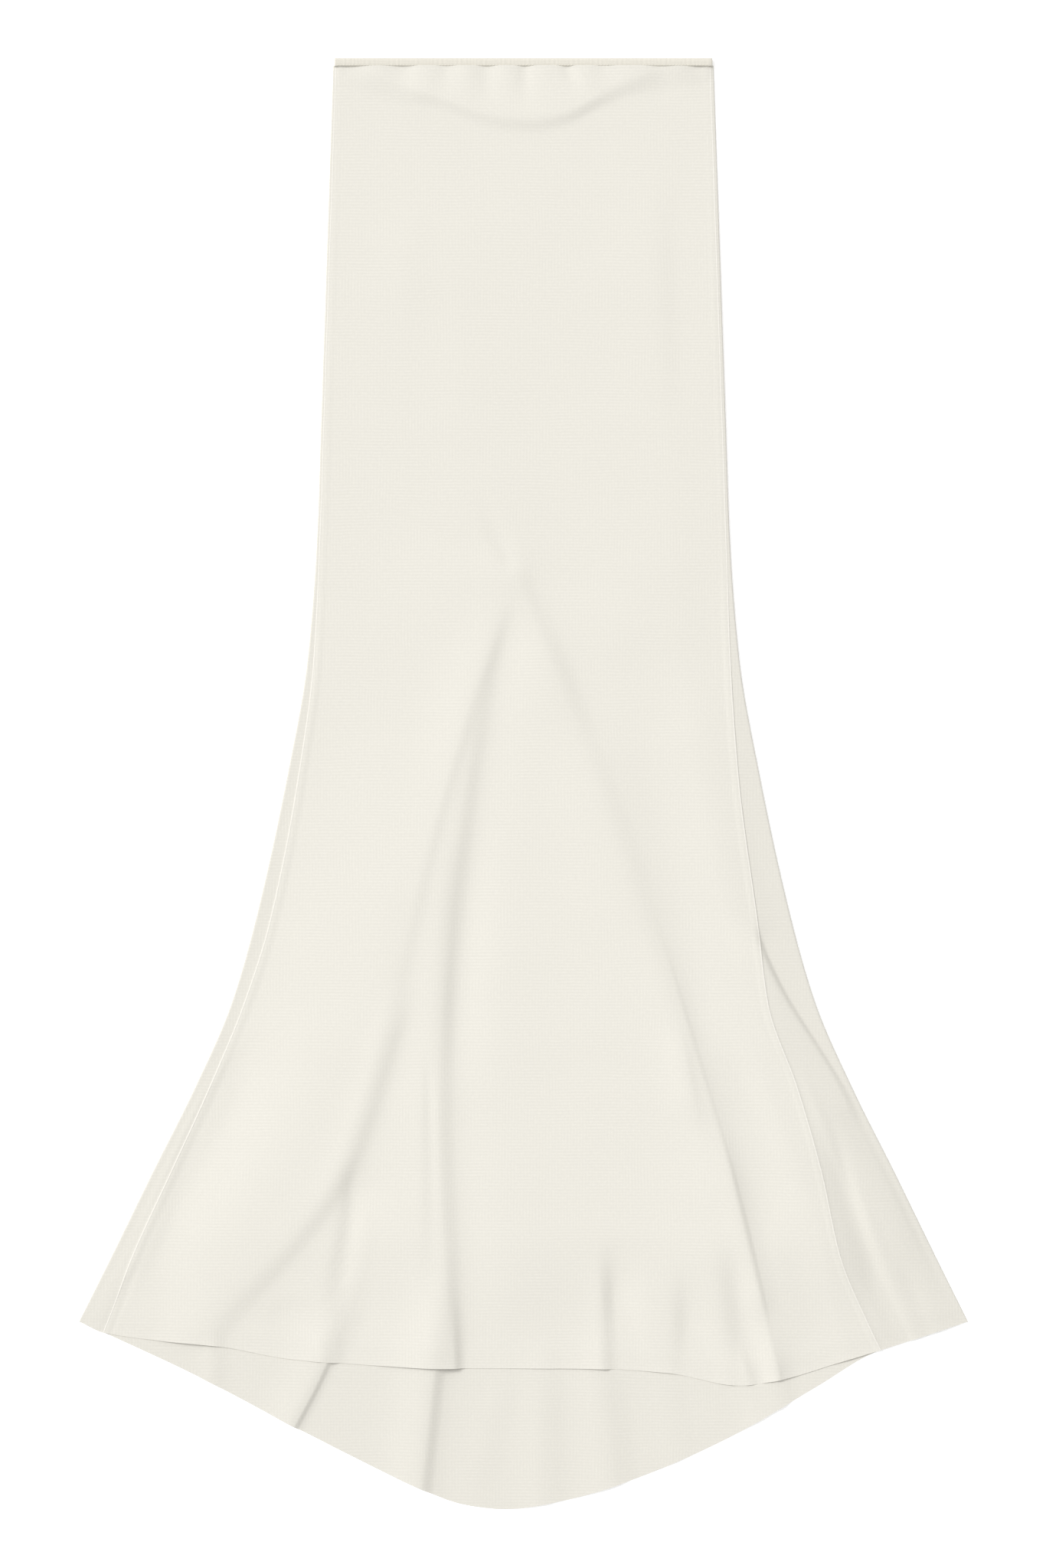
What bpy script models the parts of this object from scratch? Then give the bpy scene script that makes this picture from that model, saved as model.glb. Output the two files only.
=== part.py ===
"""A long pull-on fishtail skirt in sheer ivory jersey, laid flat on its back with the front up.

Lengths in the tables are millimetres. "drop" is measured from the waist edge down the skirt,
and x runs to the right as the skirt is seen from above. The model itself is in metres, +Z up,
with the waist towards +Y and the origin under the middle of the skirt's box.

The skirt is a tube of two panels. The back panel lies on the ground, rolls up round both side
folds and meets the front panel at two side seams. A narrow elastic casing closes the top.
"""

import collections
import math

import bmesh
import bpy
import numpy as np

MM = 0.001

# Overall sizes
LENGTH = 1212.0
TIP_DROP = 1055.0

# Cloth and the way its layers lie
CLOTH = 1.0
CASING = 1.8
CASING_HEIGHT = 6.1
SEAM_GAP = 0.3
LAYER_RISE = 2.2
CASING_RISE = 2.6
WAIST_LIFT = 0.8
WAIST_LIFT_REACH = 45.0
EDGE_REACH = 34.0

# Soft swell of the front over the flare
SWELL_HEIGHT = 4.2
SWELL_START = 380.0
SWELL_FULL = 900.0

# Small gathers that the elastic draws into the cloth
GATHER_HEIGHT = 0.45
GATHER_PITCH = 29.0
GATHER_REACH = 60.0

# Mesh counts
ROWS = 34
ROW_SPREAD = ((0.0, 0.0), (0.11, 0.04), (0.34, 0.39), (1.0, 1.0))
BEND_SEGMENTS = 5
LEFT_WRAP_COLUMNS = 2
RIGHT_WRAP_COLUMNS = 6

Section = collections.namedtuple("Section", "drop half_width left_seam right_seam")
SECTIONS = (
    Section(0, 158.0, -155.4, 155.4),
    Section(300, 168.0, -165.4, 165.4),
    Section(400, 171.5, -168.7, 168.6),
    Section(500, 179.5, -173.8, 172.0),
    Section(600, 197.0, -187.0, 179.0),
    Section(720, 224.0, -211.0, 195.0),
    Section(790, 244.5, -233.0, 204.0),
    Section(860, 274.5, -262.0, 228.5),
    Section(930, 309.0, -294.0, 248.5),
    Section(1000, 342.0, -325.0, 264.0),
    Section(1055, 369.0, -345.5, 287.0),
    Section(1120, 401.0, -374.0, 319.0),
)

# Lines that run across the skirt: the dipped back waist and the two hems
Across = collections.namedtuple("Across", "x drop")
BACK_WAIST = (
    Across(-158, 0.0),
    Across(-125, 12.0),
    Across(-92, 22.5),
    Across(-60, 36.0),
    Across(-30, 49.0),
    Across(8, 50.0),
    Across(32, 41.0),
    Across(62, 27.5),
    Across(100, 13.0),
    Across(158, 0.0),
)
TOP_HEM = (
    Across(-369, 1055.0),
    Across(-350, 1064.5),
    Across(-300, 1071.5),
    Across(-257, 1075.5),
    Across(-190, 1087.0),
    Across(-60, 1094.0),
    Across(62, 1094.5),
    Across(120, 1098.0),
    Across(180, 1108.5),
    Across(216, 1103.5),
    Across(265, 1089.0),
    Across(311, 1075.0),
    Across(369, 1055.0),
)
BACK_HEM = (
    Across(-369, 1055.0),
    Across(-338, 1070.0),
    Across(-276, 1099.0),
    Across(-184, 1147.0),
    Across(-92, 1192.0),
    Across(-50, 1208.0),
    Across(-15, 1212.0),
    Across(35, 1204.5),
    Across(92, 1187.0),
    Across(169, 1153.5),
    Across(246, 1109.0),
    Across(292, 1081.5),
    Across(369, 1055.0),
)

# Folds: x is given at four equal steps of drop from start to end. A fold swells out over
# fade_in, and falls away over its left and right widths. Negative heights are hollows.
Fold = collections.namedtuple(
    "Fold", "start end x_start x_third x_two_thirds x_end height left right fade_in"
)
TOP_FOLDS = {
    "left_swell": Fold(500, 1080, -115, -150, -208, -290, 3.4, 46, 40, 200),
    "left_hollow": Fold(800, 1070, -225, -262, -296, -322, -2.6, 16, 18, 90),
    "left_roll": Fold(690, 1070, -82, -121, -168, -283, 3.4, 34, 10, 110),
    "left_tuck": Fold(690, 1070, -68, -106, -150, -262, -3.6, 10, 28, 110),
    "middle_roll": Fold(430, 1100, -18, -65, -80, -67, 5.2, 30, 9, 120),
    "middle_tuck": Fold(430, 1100, -5, -50, -65, -53, -4.8, 8, 24, 60),
    "front_roll": Fold(470, 1105, 8, 88, 142, 165, 3.6, 46, 10, 130),
    "front_tuck": Fold(450, 1105, 14, 103, 171, 229, -4.4, 12, 17, 90),
    "right_roll": Fold(560, 1095, 112, 156, 226, 262, 3.2, 26, 17, 160),
    "side_tuck": Fold(720, 890, 197, 214, 247, 286, -3.0, 9, 9, 60),
    "side_roll": Fold(800, 1065, 217, 271, 302, 334, 2.6, 20, 16, 90),
    "side_crease": Fold(915, 1080, 254, 270, 289, 312, -4.2, 7, 15, 70),
    "hem_dip_left": Fold(1010, 1085, -200, -201, -202, -203, -2.2, 11, 11, 50),
    "hem_dip_middle": Fold(990, 1100, 67, 70, 73, 76, -2.4, 11, 11, 70),
    "hem_dip_right": Fold(1010, 1102, 131, 134, 137, 139, -2.4, 10, 10, 60),
}
UNDER_FOLDS = {
    "left_lap": Fold(1000, 1150, -136, -150, -170, -196, 3.4, 24, 5, 90),
    "middle_lap": Fold(980, 1200, -56, -61, -68, -76, 3.4, 5, 26, 110),
    "soft_wave": Fold(1050, 1205, 24, 25, 26, 27, 1.9, 15, 15, 90),
    "far_wave": Fold(1050, 1195, 76, 77, 78, 79, 1.9, 13, 13, 90),
    "corner_lap": Fold(1040, 1128, 211, 214, 218, 222, 2.6, 6, 15, 60),
}

# Mesh lines that run down the panels from the waist, with the columns between them and the
# next one. Where a line names a fold, it follows that fold's crest or floor.
Line = collections.namedtuple("Line", "fold waist_x columns")
FRONT_LINES = (
    Line("left_roll", -78, 1),
    Line("left_tuck", -64, 6),
    Line("middle_roll", -36, 2),
    Line("middle_tuck", -24, 10),
    Line("front_roll", 36, 3),
    Line("front_tuck", 52, 9),
)
FRONT_FIRST_COLUMNS = 10
UNDER_LINES = (
    Line("left_lap", -62, 1),
    Line("left_lap", -56, 5),
    Line("middle_lap", -28, 1),
    Line("middle_lap", -22, 12),
)
UNDER_FIRST_COLUMNS = 7
LAP_FOOT = {"left_lap": 6.0, "middle_lap": -6.0}

IVORY = (0.875, 0.846, 0.773, 1.0)
IVORY_UNDER = (0.845, 0.815, 0.740, 1.0)
CASING_IVORY = (0.825, 0.790, 0.705, 1.0)


def smooth_curve(knots, values, at):
    """A curve through the values with no overshoot, carried on straight past both ends."""
    knots = np.asarray(knots, float)
    values = np.asarray(values, float)
    at = np.asarray(at, float)
    steps = np.diff(knots)
    slopes = np.diff(values) / steps
    tangents = np.zeros(len(knots))
    tangents[0] = slopes[0]
    tangents[-1] = slopes[-1]
    for i in range(1, len(knots) - 1):
        if slopes[i - 1] * slopes[i] > 0:
            tangents[i] = 2 / (1 / slopes[i - 1] + 1 / slopes[i])
    i = np.clip(np.searchsorted(knots, at) - 1, 0, len(steps) - 1)
    inside = np.clip(at, knots[0], knots[-1])
    t = (inside - knots[i]) / steps[i]
    start = (1 + 2 * t) * (1 - t) ** 2 * values[i] + t * (1 - t) ** 2 * steps[i] * tangents[i]
    end = t * t * (3 - 2 * t) * values[i + 1] + t * t * (t - 1) * steps[i] * tangents[i + 1]
    beyond = np.where(at < knots[0], at - knots[0], np.maximum(at - knots[-1], 0))
    return start + end + beyond * np.where(at < knots[0], tangents[0], tangents[-1])


def read_table(rows, key, column, at):
    return smooth_curve(
        [getattr(row, key) for row in rows], [getattr(row, column) for row in rows], at
    )


def ease(t):
    t = np.clip(t, 0, 1)
    return t * t * (3 - 2 * t)


def half_width(drop):
    return read_table(SECTIONS, "drop", "half_width", drop)


def left_seam(drop):
    return read_table(SECTIONS, "drop", "left_seam", drop)


def right_seam(drop):
    return read_table(SECTIONS, "drop", "right_seam", drop)


def fold_x(fold, drop):
    """Where a fold's line lies at a drop, held at its ends beyond them."""
    steps = np.linspace(fold.start, fold.end, 4)
    places = (fold.x_start, fold.x_third, fold.x_two_thirds, fold.x_end)
    return smooth_curve(steps, places, np.clip(drop, fold.start, fold.end))


def fold_height(fold, x, drop):
    away = x - fold_x(fold, drop)
    width = np.where(away < 0, fold.left, fold.right)
    grown = ease((drop - fold.start) / fold.fade_in)
    return fold.height * grown * np.exp(-((away / width) ** 2))


def under_height(x, drop):
    """The middle of the lower layer's wall above the ground."""
    laps = sum(fold_height(fold, x, drop) for fold in UNDER_FOLDS.values())
    return CLOTH / 2 + laps


def gathers(x, drop):
    """Ripples under the elastic, uneven in pitch and dying out down the cloth."""
    turn = 2 * math.pi * x / GATHER_PITCH
    ripple = np.sin(turn + 0.9 * np.sin(turn * 0.31)) + 0.5 * np.sin(1.63 * turn + 1.1)
    return GATHER_HEIGHT * ripple * (1 - ease(drop / GATHER_REACH))


def relief(x, drop):
    """How far the upper layer stands over a plain flat lay."""
    swell = SWELL_HEIGHT * ease((drop - SWELL_START) / (SWELL_FULL - SWELL_START))
    folds = sum(fold_height(fold, x, drop) for fold in TOP_FOLDS.values())
    raised = 1 + swell + folds + gathers(x, drop)
    raised = 0.5 * (raised + np.sqrt(raised**2 + 1.0)) - 0.3
    inward = (half_width(drop) - np.abs(x)) / EDGE_REACH
    waist = WAIST_LIFT * (1 - ease(drop / WAIST_LIFT_REACH))
    return ease(inward) * raised + waist * np.clip(inward * 6, 0, 1)


def top_height(x, drop):
    """The middle of the upper layer's wall, on the front panel and on both side wraps."""
    return under_height(x, drop) + LAYER_RISE + relief(x, drop)


def place_rows(across, waist_line, hem_line, v):
    """The drop of each mesh point, and its x, for lines that run down the cloth.

    across gives x from a drop, and the two lines give a drop from x, so where they
    meet is found by going round between them until it settles.
    """
    first = waist_line(across(np.zeros_like(v)))
    last = hem_line(across(np.full_like(v, TIP_DROP)))
    for _ in range(30):
        first = waist_line(across(first))
        last = hem_line(across(last))
    share = smooth_curve([r[0] for r in ROW_SPREAD], [r[1] for r in ROW_SPREAD], v)
    drop = first + share * (last - first)
    return drop, across(drop)


def front_waist_line(x):
    return np.full_like(x, CASING_HEIGHT + SEAM_GAP)


def back_waist_edge(x):
    return np.maximum(read_table(BACK_WAIST, "x", "drop", x), 0)


def back_waist_line(x):
    return back_waist_edge(x) + CASING_HEIGHT + SEAM_GAP


def top_hem_line(x):
    return read_table(TOP_HEM, "x", "drop", x)


def back_hem_line(x):
    return read_table(BACK_HEM, "x", "drop", x)


def line_x(line, folds, shift, drop):
    """A mesh line: straight from the waist to its fold's start, then along the fold."""
    fold = folds[line.fold]
    below = fold_x(fold, drop) + shift
    above = line.waist_x + (fold.x_start + shift - line.waist_x) * ease(drop / fold.start)
    return np.where(drop < fold.start, above, below)


def spread(u, lines, counts, drop):
    """x at a share u of the columns, between lines that are functions of drop."""
    ends = np.concatenate([[0], np.cumsum(counts)]) / sum(counts)
    places = [line(drop) for line in lines]
    x = places[0]
    for i in range(len(counts)):
        t = np.clip((u - ends[i]) / (ends[i + 1] - ends[i]), 0, 1)
        x = x + t * (places[i + 1] - places[i])
    return x


def moved_grid(name, columns, rows, place):
    """A grid whose points are moved by place(u, v), which gives x, drop and height."""
    mesh = bpy.data.meshes.new(name)
    bm = bmesh.new()
    bmesh.ops.create_grid(bm, x_segments=columns, y_segments=rows, size=1.0)
    u = np.array([(vert.co.x + 1) / 2 for vert in bm.verts])
    v = np.array([(1 - vert.co.y) / 2 for vert in bm.verts])
    x, drop, height = place(u, v)
    for vert, px, pd, pz in zip(bm.verts, x, drop, height):
        vert.co = (px * MM, (LENGTH / 2 - pd) * MM, pz * MM)
    bm.to_mesh(mesh)
    bm.free()
    return mesh


def cloth_material(name, colour, roughness):
    material = bpy.data.materials.new(name)
    material.use_nodes = True
    shader = material.node_tree.nodes["Principled BSDF"]
    shader.inputs["Base Color"].default_value = colour
    shader.inputs["Roughness"].default_value = roughness
    shader.inputs["Metallic"].default_value = 0.0
    material.diffuse_color = colour
    return material


def thicken(mesh, name, wall, material, collection, parent):
    """An object that gives an open sheet its wall, half to each side."""
    mesh.materials.append(material)
    mesh.shade_smooth()
    piece = bpy.data.objects.new(name, mesh)
    solidify = piece.modifiers.new("wall", "SOLIDIFY")
    solidify.thickness = wall * MM
    solidify.offset = 0.0
    solidify.use_even_offset = True
    solidify.use_quality_normals = True
    collection.objects.link(piece)
    piece.parent = parent
    return piece


def front_lines():
    """The front panel's mesh lines from the left seam to the right, and its columns."""
    lines = [lambda drop: left_seam(drop) + SEAM_GAP / 2]
    counts = [FRONT_FIRST_COLUMNS]
    for line in FRONT_LINES:
        lines.append(lambda drop, line=line: line_x(line, TOP_FOLDS, 0.0, drop))
        counts.append(line.columns)
    lines.append(lambda drop: right_seam(drop) - SEAM_GAP / 2)
    return lines, counts


def make_front_panel(collection, parent):
    lines, counts = front_lines()

    def place(u, v):
        def across(drop):
            return spread(u, lines, counts, drop)

        drop, x = place_rows(across, front_waist_line, top_hem_line, v)
        return x, drop, top_height(x, drop)

    mesh = moved_grid("front_panel", sum(counts), ROWS, place)
    material = cloth_material("sheer_jersey_front", IVORY, 0.85)
    return thicken(mesh, "front_panel", CLOTH, material, collection, parent)


def under_lines():
    """The lower layer's mesh lines between the two side folds, and its columns."""
    inset = CLOTH / 2 + LAYER_RISE / 2
    lines = [lambda drop: inset - half_width(drop)]
    counts = [UNDER_FIRST_COLUMNS]
    for i, line in enumerate(UNDER_LINES):
        crest_first = LAP_FOOT[line.fold] > 0
        is_foot = (i % 2 == 1) == crest_first
        shift = LAP_FOOT[line.fold] if is_foot else 0.0
        lines.append(
            lambda drop, line=line, shift=shift: line_x(line, UNDER_FOLDS, shift, drop)
        )
        counts.append(line.columns)
    lines.append(lambda drop: half_width(drop) - inset)
    return lines, counts


def make_back_panel(collection, parent):
    """Left seam, over the top to the left fold, along the ground, and back up to the right."""
    lines, counts = under_lines()
    radius = LAYER_RISE / 2
    stretches = (
        ("left_wrap", LEFT_WRAP_COLUMNS),
        ("left_bend", BEND_SEGMENTS),
        ("under", sum(counts)),
        ("right_bend", BEND_SEGMENTS),
        ("right_wrap", RIGHT_WRAP_COLUMNS),
    )
    columns = sum(count for _, count in stretches)
    inset = CLOTH / 2 + radius

    def left_wrap(t, v):
        def across(drop):
            seam = left_seam(drop) - SEAM_GAP / 2
            return seam + t * (inset - half_width(drop) - seam)

        drop, x = place_rows(across, front_waist_line, top_hem_line, v)
        return x, drop, top_height(x, drop)

    def right_wrap(t, v):
        def across(drop):
            seam = right_seam(drop) + SEAM_GAP / 2
            return half_width(drop) - inset + t * (seam - half_width(drop) + inset)

        drop, x = place_rows(across, front_waist_line, top_hem_line, v)
        return x, drop, top_height(x, drop)

    def bend(side, t, v):
        def across(drop):
            return side * (half_width(drop) - inset)

        drop, x = place_rows(across, front_waist_line, top_hem_line, v)
        low = under_height(x, drop)
        high = top_height(x, drop)
        turn = math.pi * t
        middle = (low + high) / 2
        reach = (high - low) / 2
        if side < 0:
            return x - radius * np.sin(turn), drop, middle + reach * np.cos(turn)
        return x + radius * np.sin(turn), drop, middle - reach * np.cos(turn)

    def under(t, v):
        def across(drop):
            return spread(t, lines, counts, drop)

        drop, x = place_rows(across, back_waist_line, back_hem_line, v)
        return x, drop, under_height(x, drop)

    makers = {
        "left_wrap": left_wrap,
        "left_bend": lambda t, v: bend(-1, t, v),
        "under": under,
        "right_bend": lambda t, v: bend(1, t, v),
        "right_wrap": right_wrap,
    }

    def place(u, v):
        x = np.zeros_like(u)
        drop = np.zeros_like(u)
        height = np.zeros_like(u)
        done = 0
        for name, count in stretches:
            t = (u * columns - done) / count
            chosen = (t > -1e-5) & (t < 1 + 1e-5)
            spot = makers[name](np.clip(t[chosen], 0, 1), v[chosen])
            x[chosen], drop[chosen], height[chosen] = spot
            done += count
        return x, drop, height

    mesh = moved_grid("back_panel", columns, ROWS, place)
    material = cloth_material("sheer_jersey_back", IVORY_UNDER, 0.85)
    return thicken(mesh, "back_panel", CLOTH, material, collection, parent)


def casing_ring(step, v, back_columns):
    """The elastic casing: step counts round the ring, and v runs down its narrow height.

    It goes along the straight front, round the right fold, along the dipped back on the
    ground, and round the left fold. On the back it has the lower layer's own mesh lines.
    """
    radius = CASING_RISE / 2
    low = CASING / 2
    reach = half_width(0.0) - low - radius
    right_start = back_columns
    back_start = right_start + BEND_SEGMENTS
    left_start = back_start + back_columns
    front = step <= right_start
    right = (step > right_start) & (step < back_start)
    back = (step >= back_start) & (step <= left_start)
    left = step > left_start
    x = np.zeros_like(v)
    height = np.zeros_like(v)
    x[front] = reach * (2 * step[front] / back_columns - 1)
    height[front] = low + CASING_RISE
    turn = math.pi * (step[right] - right_start) / BEND_SEGMENTS
    x[right] = reach + radius * np.sin(turn)
    height[right] = low + radius + radius * np.cos(turn)
    x[back] = np.clip(under_waist_x(1 - (step[back] - back_start) / back_columns), -reach, reach)
    height[back] = low
    turn = math.pi * (step[left] - left_start) / BEND_SEGMENTS
    x[left] = -reach - radius * np.sin(turn)
    height[left] = low + radius - radius * np.cos(turn)
    edge = np.where(back, back_waist_edge(x), 0.0)
    return x, edge + v * CASING_HEIGHT, height


def under_waist_x(t):
    """Where the lower layer's mesh lines meet the casing."""
    lines, counts = under_lines()
    _, x = place_rows(
        lambda drop: spread(t, lines, counts, drop), back_waist_line, back_hem_line, 0 * t
    )
    return x


def make_waistband(collection, parent):
    back_columns = sum(under_lines()[1])
    around = 2 * (back_columns + BEND_SEGMENTS)
    mesh = bpy.data.meshes.new("waistband")
    bm = bmesh.new()
    bmesh.ops.create_circle(bm, cap_ends=False, segments=around, radius=1.0)
    lower = bmesh.ops.extrude_edge_only(bm, edges=list(bm.edges))["geom"]
    for part in lower:
        if isinstance(part, bmesh.types.BMVert):
            part.co.z = -1.0
    turn = [math.atan2(vert.co.x, vert.co.y) / (2 * math.pi) for vert in bm.verts]
    step = np.round(np.array(turn) % 1.0 * around) % around
    v = np.array([-vert.co.z for vert in bm.verts])
    x, drop, height = casing_ring(step, v, back_columns)
    for vert, px, pd, pz in zip(bm.verts, x, drop, height):
        vert.co = (px * MM, (LENGTH / 2 - pd) * MM, pz * MM)
    bmesh.ops.recalc_face_normals(bm, faces=bm.faces)
    bm.to_mesh(mesh)
    bm.free()
    material = cloth_material("jersey_over_elastic", CASING_IVORY, 0.8)
    return thicken(mesh, "waistband", CASING, material, collection, parent)


def clear_scene():
    for thing in list(bpy.data.objects):
        bpy.data.objects.remove(thing, do_unlink=True)


def main():
    clear_scene()
    collection = bpy.data.collections.new("fishtail_skirt")
    bpy.context.scene.collection.children.link(collection)
    parent = bpy.data.objects.new("skirt_origin", None)
    collection.objects.link(parent)
    make_front_panel(collection, parent)
    make_back_panel(collection, parent)
    make_waistband(collection, parent)


main()
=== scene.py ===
"""Dresses a long pull-on fishtail skirt in fine ivory jersey, laid flat on its back.

The cloth is two thin shells on the skirt's own solids, with its creases placed one by one. A soft
elastic casing, its topstitching and the two side seams are pieces of their own. Tables are in
millimetres: "drop" is measured down the skirt from the waist edge, and x runs to the right.
"""

import collections
import math

import bpy
import numpy as np
from bpy.props import FloatProperty, FloatVectorProperty, IntProperty, PointerProperty
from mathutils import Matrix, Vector


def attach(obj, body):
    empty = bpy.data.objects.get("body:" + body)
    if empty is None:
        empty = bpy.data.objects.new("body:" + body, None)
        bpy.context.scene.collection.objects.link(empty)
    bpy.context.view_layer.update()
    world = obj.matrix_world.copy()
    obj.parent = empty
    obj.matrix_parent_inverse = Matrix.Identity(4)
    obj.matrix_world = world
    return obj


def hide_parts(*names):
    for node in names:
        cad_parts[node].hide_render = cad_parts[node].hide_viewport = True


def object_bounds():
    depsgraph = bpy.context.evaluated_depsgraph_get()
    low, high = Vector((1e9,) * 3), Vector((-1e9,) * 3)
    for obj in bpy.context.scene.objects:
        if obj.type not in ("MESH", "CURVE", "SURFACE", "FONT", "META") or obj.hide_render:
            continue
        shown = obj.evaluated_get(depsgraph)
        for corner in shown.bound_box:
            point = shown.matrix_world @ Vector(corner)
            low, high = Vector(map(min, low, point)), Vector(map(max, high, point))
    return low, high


bl_info = {
    "name": "Fishtail Skirt",
    "version": (1, 0, 0),
    "blender": (4, 5, 0),
    "location": "View3D > Sidebar > Skirt",
    "description": "Makes a sheer jersey fishtail skirt laid flat, with its casing and seams",
    "category": "Add Mesh",
}

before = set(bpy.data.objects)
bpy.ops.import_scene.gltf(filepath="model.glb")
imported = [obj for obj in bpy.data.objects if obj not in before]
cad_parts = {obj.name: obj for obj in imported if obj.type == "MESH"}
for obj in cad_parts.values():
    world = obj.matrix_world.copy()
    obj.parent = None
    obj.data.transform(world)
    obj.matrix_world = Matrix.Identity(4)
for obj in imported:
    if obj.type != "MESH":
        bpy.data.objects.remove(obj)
cad_low, cad_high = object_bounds()

MM = 0.001
WAIST_Y = cad_high.y
ROOT = "root"
UV_NAME = "UVMap"

# Drop of the two side tips, where the front hem and the back hem meet
TIP_DROP = 1055.0
# How far in from the outline the cloth has risen off the layer below
LEFT_EDGE_REACH = 115.0
RIGHT_EDGE_REACH = 55.0
SWELL_START = 380.0
SWELL_FULL = 900.0
SWELL_BASE = 1.0
# Over HEM_SETTLE above the hem the swell, the folds and the layer's rise lose these shares
HEM_SETTLE = 120.0
SWELL_HEM_LOSS = 0.9
FOLD_HEM_LOSS = 0.2
RISE_HEM_LOSS = 0.5
# The cloth lies flattest just below the waist, and bends down close to the hem
WAIST_LIFT = 2.2
WAIST_FLAT = 60.0
WAIST_FLAT_FADE = 140.0
WAIST_FLAT_SHARE = 0.5
HEM_ROLL = 18.0
HEM_ROLL_LOSS = 0.6
FOLD_REACH = 12.0
DRAWN_REACH = 6.0
# Rounds off hollows where the cloth would reach the layer below, as a squared height
SOFT_FLOOR = 0.25
# Marks that the layers below press into the front, which fall slower at the waist's corners
PRINT_ABOVE = 3.0
PRINT_FALL = 13.0
CORNER_START = 70.0
CORNER_WIDTH = 60.0
CORNER_FALL = 12.0
PRINT_ALLOWANCE = 0.45
ALLOWANCE_STEP = 0.8
ALLOWANCE_FADE = 1.2
# Heights of the broad and the small unevenness of hand-smoothed cloth
BROAD_UNEVEN = 0.35
SMALL_UNEVEN = 0.15

Section = collections.namedtuple("Section", "drop half_width left_seam right_seam")
SECTIONS = (
    Section(0, 158.8, -156.2, 155.8),
    Section(300, 169.0, -166.2, 165.9),
    Section(400, 172.5, -169.6, 169.2),
    Section(500, 180.2, -174.4, 172.5),
    Section(600, 197.6, -187.4, 179.3),
    Section(720, 224.0, -211.0, 195.0),
    Section(790, 244.3, -233.0, 204.0),
    Section(860, 274.8, -262.0, 228.5),
    Section(930, 309.8, -294.0, 248.5),
    Section(1000, 344.0, -326.0, 264.0),
    Section(1055, 371.4, -347.0, 287.0),
    Section(1120, 404.0, -375.0, 319.0),
)

Across = collections.namedtuple("Across", "x drop")
BACK_WAIST = (
    Across(-158.8, 0.0),
    Across(-130, 10.0),
    Across(-100, 24.0),
    Across(-66, 34.5),
    Across(-38, 45.5),
    Across(-14, 51.0),
    Across(8, 52.0),
    Across(32, 48.0),
    Across(62, 33.5),
    Across(94, 17.0),
    Across(125, 6.0),
    Across(158.8, 0.0),
)
TOP_HEM = (
    Across(-371.4, 1055.0),
    Across(-350, 1064.5),
    Across(-300, 1071.5),
    Across(-257, 1075.5),
    Across(-190, 1087.0),
    Across(-60, 1094.0),
    Across(62, 1094.5),
    Across(120, 1098.0),
    Across(180, 1108.5),
    Across(216, 1103.5),
    Across(265, 1089.0),
    Across(311, 1075.0),
    Across(371.4, 1055.0),
)
BACK_HEM = (
    Across(-371.4, 1055.0),
    Across(-338, 1070.0),
    Across(-276, 1099.0),
    Across(-184, 1147.0),
    Across(-92, 1192.0),
    Across(-50, 1208.0),
    Across(-15, 1212.0),
    Across(35, 1204.5),
    Across(92, 1187.0),
    Across(169, 1153.5),
    Across(246, 1109.0),
    Across(292, 1081.5),
    Across(371.4, 1055.0),
)

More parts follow.
